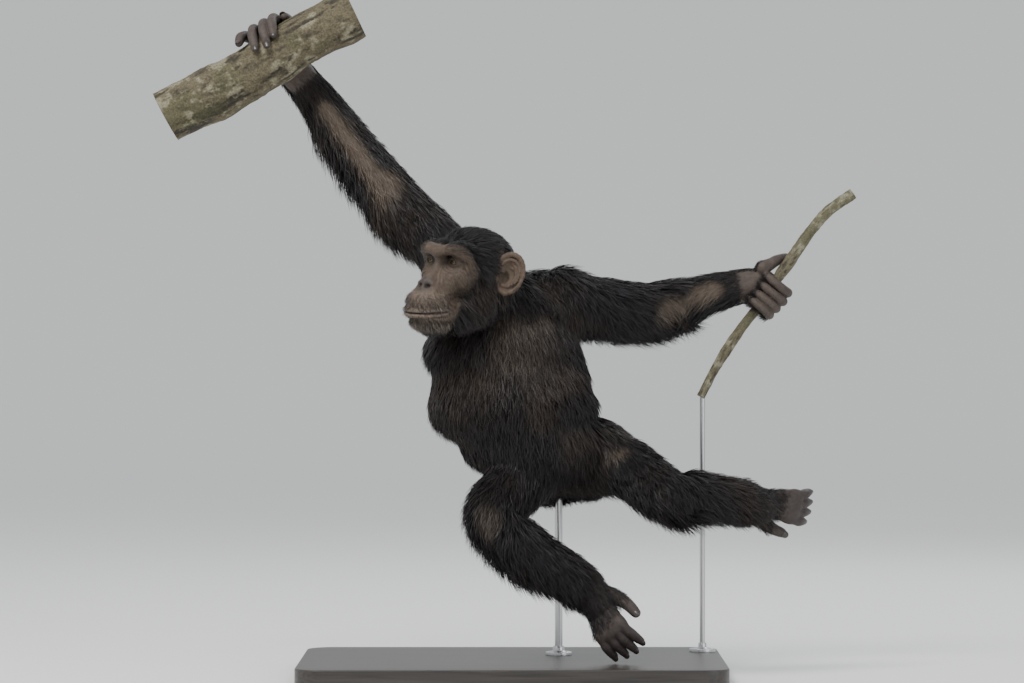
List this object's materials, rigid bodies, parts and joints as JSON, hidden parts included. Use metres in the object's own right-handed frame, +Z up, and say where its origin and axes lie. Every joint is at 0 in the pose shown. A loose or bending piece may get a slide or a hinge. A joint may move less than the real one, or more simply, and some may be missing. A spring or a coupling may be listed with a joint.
{
  "type": "chimpanzee",
  "caption": "Still life-size model of a young chimpanzee swinging between a thick branch and a thin stem, on a flat display stand with two rods.",
  "frame": {"origin": "centre of the underside of the stand's base", "axes": "+Z up, +X towards the animal's left and the picture's right, -Y the way the chest faces, towards the camera"},
  "size_m": [1.2798, 0.52, 1.2322],
  "materials": {
    "coat": "satin black hair with a cool sheen",
    "face": "matte wrinkled skin",
    "palm": "matte leathery skin",
    "iris": "wet gloss",
    "branch_bark": "rough ridged bark",
    "stem_bark": "rough mottled bark",
    "stand_board": "satin dark",
    "stand_steel": "satin"
  },
  "bodies": {
    "root": {"head": "face", "ear_left": "face", "ear_right": "face", "eye_left": "iris", "eye_right": "iris", "neck": "coat", "chest": "coat", "belly": "coat", "pelvis": "coat", "upper_arm_right": "coat", "forearm_right": "coat", "hand_right": "palm", "upper_arm_left": "coat", "forearm_left": "coat", "hand_left": "palm", "thigh_right": "coat", "shin_right": "coat", "foot_right": "palm", "thigh_left": "coat", "shin_left": "coat", "foot_left": "palm", "branch_perch": "branch_bark", "stem_perch": "stem_bark", "stand_base": "stand_board", "stand_rod_body": "stand_steel", "stand_rod_stem": "stand_steel"}
  },
  "joints": []
}
